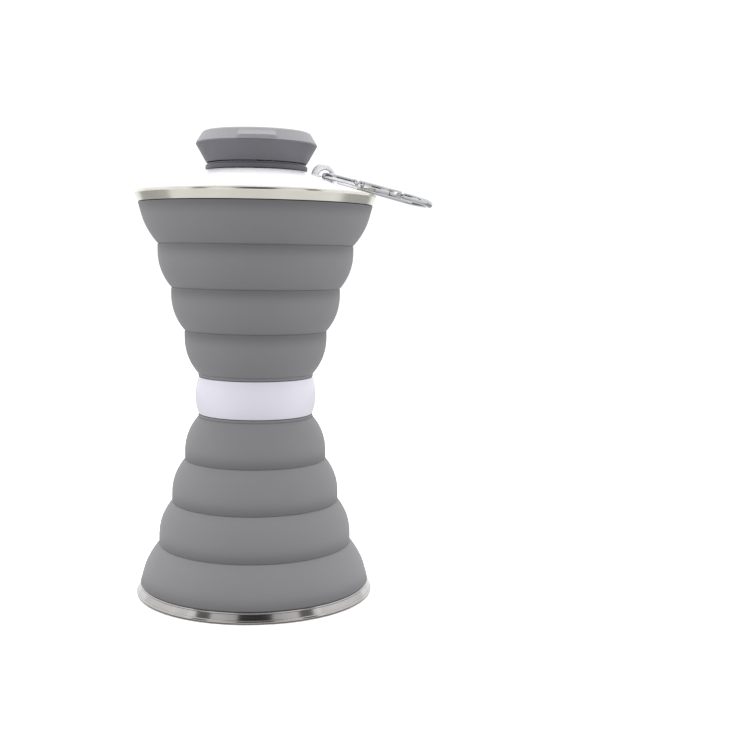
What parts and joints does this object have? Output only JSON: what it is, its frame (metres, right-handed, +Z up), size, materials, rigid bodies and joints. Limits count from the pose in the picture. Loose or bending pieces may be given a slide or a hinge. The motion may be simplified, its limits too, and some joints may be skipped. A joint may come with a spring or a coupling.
{
  "type": "collapsible travel bottle",
  "caption": "Hourglass silicone bottle that folds flat between two steel rings, with a waist band, screw-on dome lid, flip-top cap and snap hook.",
  "frame": {"origin": "centre of the underside of the floor, where the bottle stands", "axes": "+Z up along the bottle's axis, +X towards the hanging lug and snap hook, -Y towards the thumb tab of the flip lid"},
  "size_m": [0.1221, 0.0984, 0.19],
  "materials": {
    "silicone_grey": "matte",
    "plastic_grey": "satin",
    "plastic_white": "gloss",
    "band_white": "satin",
    "silicone_clear": "matte",
    "steel_polished": "polished",
    "chrome_hook": "polished",
    "steel_pin": "satin"
  },
  "bodies": {
    "base": {"floor_pad": "silicone_grey", "base_hoop": "plastic_grey", "base_steel_ring": "steel_polished", "lower_ring_1": "silicone_grey", "lower_web_1": "silicone_grey"},
    "lower_stage_2": {"lower_ring_2": "silicone_grey", "lower_web_2": "silicone_grey"},
    "lower_stage_3": {"lower_ring_3": "silicone_grey", "lower_web_3": "silicone_grey"},
    "lower_stage_4": {"lower_ring_4": "silicone_grey", "lower_web_4": "silicone_grey"},
    "waist": {"waist_sleeve": "silicone_grey", "waist_band": "band_white", "upper_web_4": "silicone_grey"},
    "upper_stage_4": {"upper_ring_4": "silicone_grey", "upper_web_3": "silicone_grey"},
    "upper_stage_3": {"upper_ring_3": "silicone_grey", "upper_web_2": "silicone_grey"},
    "upper_stage_2": {"upper_ring_2": "silicone_grey", "upper_web_1": "silicone_grey"},
    "rim": {"upper_ring_1": "silicone_grey", "rim_thread_ring": "plastic_grey", "rim_steel_ring": "steel_polished"},
    "lid_ring_seal": {"lid_seal": "silicone_clear"},
    "lid": {"lid_dome": "plastic_white", "neck_collar": "plastic_grey"},
    "cap_washer": {"cap_seal": "silicone_clear"},
    "cap": {"cap_body": "plastic_grey", "flip_hinge_pin": "steel_pin"},
    "flip_top": {"flip_lid": "plastic_grey", "spout_plug": "silicone_clear"},
    "hook": {"hook_body": "chrome_hook", "gate_pin": "steel_pin"},
    "gate": {"hook_gate": "chrome_hook", "gate_spring": "steel_pin"}
  },
  "joints": [
    {"name": "lower_fold_1", "type": "slide", "parent": "base", "child": "lower_stage_2", "axis": [0, 0, 1], "range_m": [-0.0186, 0], "deforming": ["lower_web_1"]},
    {"name": "lower_fold_2", "type": "slide", "parent": "lower_stage_2", "child": "lower_stage_3", "axis": [0, 0, 1], "range_m": [-0.0174, 0], "deforming": ["lower_web_2"]},
    {"name": "lower_fold_3", "type": "slide", "parent": "lower_stage_3", "child": "lower_stage_4", "axis": [0, 0, 1], "range_m": [-0.0174, 0], "deforming": ["lower_web_3"]},
    {"name": "lower_fold_4", "type": "slide", "parent": "lower_stage_4", "child": "waist", "axis": [0, 0, 1], "range_m": [-0.0174, 0], "deforming": ["lower_web_4"]},
    {"name": "upper_fold_4", "type": "slide", "parent": "waist", "child": "upper_stage_4", "axis": [0, 0, 1], "range_m": [-0.0174, 0], "deforming": ["upper_web_4"]},
    {"name": "upper_fold_3", "type": "slide", "parent": "upper_stage_4", "child": "upper_stage_3", "axis": [0, 0, 1], "range_m": [-0.0174, 0], "deforming": ["upper_web_3"]},
    {"name": "upper_fold_2", "type": "slide", "parent": "upper_stage_3", "child": "upper_stage_2", "axis": [0, 0, 1], "range_m": [-0.0174, 0], "deforming": ["upper_web_2"]},
    {"name": "upper_fold_1", "type": "slide", "parent": "upper_stage_2", "child": "rim", "axis": [0, 0, 1], "range_m": [-0.0186, 0], "deforming": ["upper_web_1"]},
    {"name": "lid_lift", "type": "slide", "parent": "rim", "child": "lid_ring_seal", "axis": [0, 0, 1], "range_m": [0, 0.06]},
    {"name": "lid_turn", "type": "hinge", "parent": "lid_ring_seal", "child": "lid", "pos_m": [0, 0, 0.1658], "axis": [0, 0, 1], "range_deg": [0, 360]},
    {"name": "cap_lift", "type": "slide", "parent": "lid", "child": "cap_washer", "axis": [0, 0, 1], "range_m": [0, 0.03]},
    {"name": "cap_turn", "type": "hinge", "parent": "cap_washer", "child": "cap", "pos_m": [0, 0, 0.1774], "axis": [0, 0, 1], "range_deg": [0, 360]},
    {"name": "flip_hinge", "type": "hinge", "parent": "cap", "child": "flip_top", "pos_m": [0, 0.0263, 0.18515], "axis": [-1, 0, 0], "range_deg": [0, 150]},
    {"name": "hook_swing", "type": "hinge", "parent": "lid", "child": "hook", "pos_m": [0.0279, 0, 0.1731], "axis": [0, -1, 0], "range_deg": [0, 100]},
    {"name": "gate_spring_hinge", "type": "hinge", "parent": "hook", "child": "gate", "pos_m": [0.05749, -0.00871, 0.16575], "axis": [-0.241, 0, -0.9705], "range_deg": [0, 25], "stiffness_Nm_per_rad": 0.02}
  ],
  "couplings": [
    {"joint": "lower_fold_2", "follows": "lower_fold_1", "ratio": 0.93548},
    {"joint": "lower_fold_3", "follows": "lower_fold_1", "ratio": 0.93548},
    {"joint": "lower_fold_4", "follows": "lower_fold_1", "ratio": 0.93548},
    {"joint": "upper_fold_2", "follows": "upper_fold_1", "ratio": 0.93548},
    {"joint": "upper_fold_3", "follows": "upper_fold_1", "ratio": 0.93548},
    {"joint": "upper_fold_4", "follows": "upper_fold_1", "ratio": 0.93548}
  ]
}
